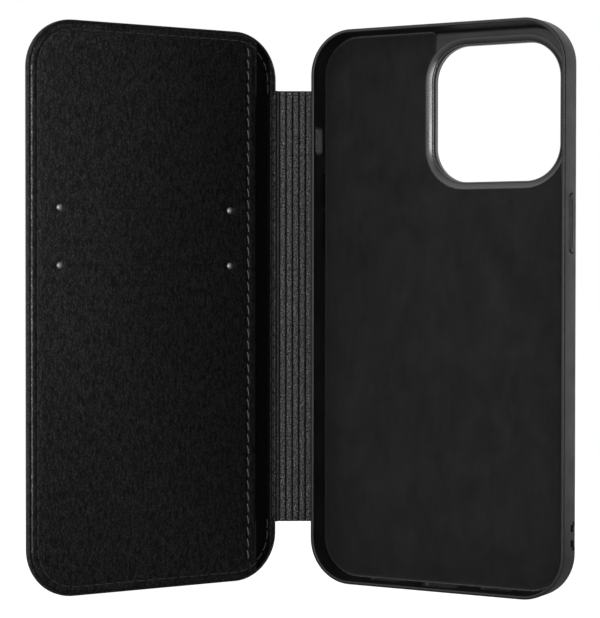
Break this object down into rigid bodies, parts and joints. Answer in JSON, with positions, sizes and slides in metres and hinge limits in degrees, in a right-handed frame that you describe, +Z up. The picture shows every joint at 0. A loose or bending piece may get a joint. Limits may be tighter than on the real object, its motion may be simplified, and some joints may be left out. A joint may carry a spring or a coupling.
{
  "type": "phone wallet case",
  "caption": "Book-type phone case: a moulded tray with a camera cut-out, a ribbed leather spine and a stitched flap with card slits on its inside.",
  "frame": {"origin": "centre of the open case's box, on the surface that it stands on", "axes": "+Z up along the case's height, +Y out of the tray's back, +X towards the tray's side that has the power button"},
  "size_m": [0.135, 0.0846, 0.165],
  "materials": {
    "outer_leather": "pebbled black leatherette",
    "panel_leather": "pebbled black leatherette, upright wrinkles",
    "spine_leather": "fine-grained leatherette with pressed grooves",
    "smooth_lining": "smooth matt lining",
    "soft_plastic": "matt thermoplastic polyurethane",
    "bezel_plastic": "satin moulded plastic",
    "microfibre": "short-napped microfibre",
    "stiff_board": "plain stiffening sheet",
    "pocket_cloth": "thin woven lining cloth",
    "dark_thread": "bonded black thread",
    "seam_thread": "bonded dark grey thread",
    "rivet_steel": "silver, satin"
  },
  "bodies": {
    "tray": {"tray_shell": "soft_plastic", "tray_lining": "microfibre", "camera_bezel": "bezel_plastic", "back_skin": "outer_leather"},
    "power_button": {"power_button": "soft_plastic"},
    "volume_up_button": {"volume_up_button": "soft_plastic"},
    "volume_down_button": {"volume_down_button": "soft_plastic"},
    "spine": {"spine_skin": "outer_leather", "spine_stiffener": "stiff_board", "spine_lining": "spine_leather", "spine_stitch_top": "dark_thread", "spine_stitch_bottom": "dark_thread"},
    "flap": {"flap_skin": "outer_leather", "flap_board": "stiff_board", "flap_lining": "smooth_lining", "pocket_divider": "pocket_cloth", "pocket_panel": "panel_leather", "rivet_lower_free": "rivet_steel", "rivet_lower_hinge": "rivet_steel", "rivet_upper_free": "rivet_steel", "rivet_upper_hinge": "rivet_steel", "flap_perimeter_stitch": "dark_thread", "pocket_seam_stitch": "seam_thread"}
  },
  "joints": [
    {"name": "spine_hinge", "type": "hinge", "parent": "tray", "child": "spine", "pos_m": [-0.01654, 0.04002, 0.0825], "axis": [0, 0, 1], "range_deg": [-121.5, 58.5]},
    {"name": "flap_hinge", "type": "hinge", "parent": "spine", "child": "flap", "pos_m": [-0.02827, 0.03284, 0.0825], "axis": [0, 0, 1], "range_deg": [-120.7, 59.3]},
    {"name": "power_press", "type": "slide", "parent": "tray", "child": "power_button", "axis": [-1, 0, 0], "range_m": [0, 0.0004], "stiffness_N_per_m": 400},
    {"name": "volume_up_press", "type": "slide", "parent": "tray", "child": "volume_up_button", "axis": [1, 0, 0], "range_m": [0, 0.0004], "stiffness_N_per_m": 400},
    {"name": "volume_down_press", "type": "slide", "parent": "tray", "child": "volume_down_button", "axis": [1, 0, 0], "range_m": [0, 0.0004], "stiffness_N_per_m": 400}
  ]
}
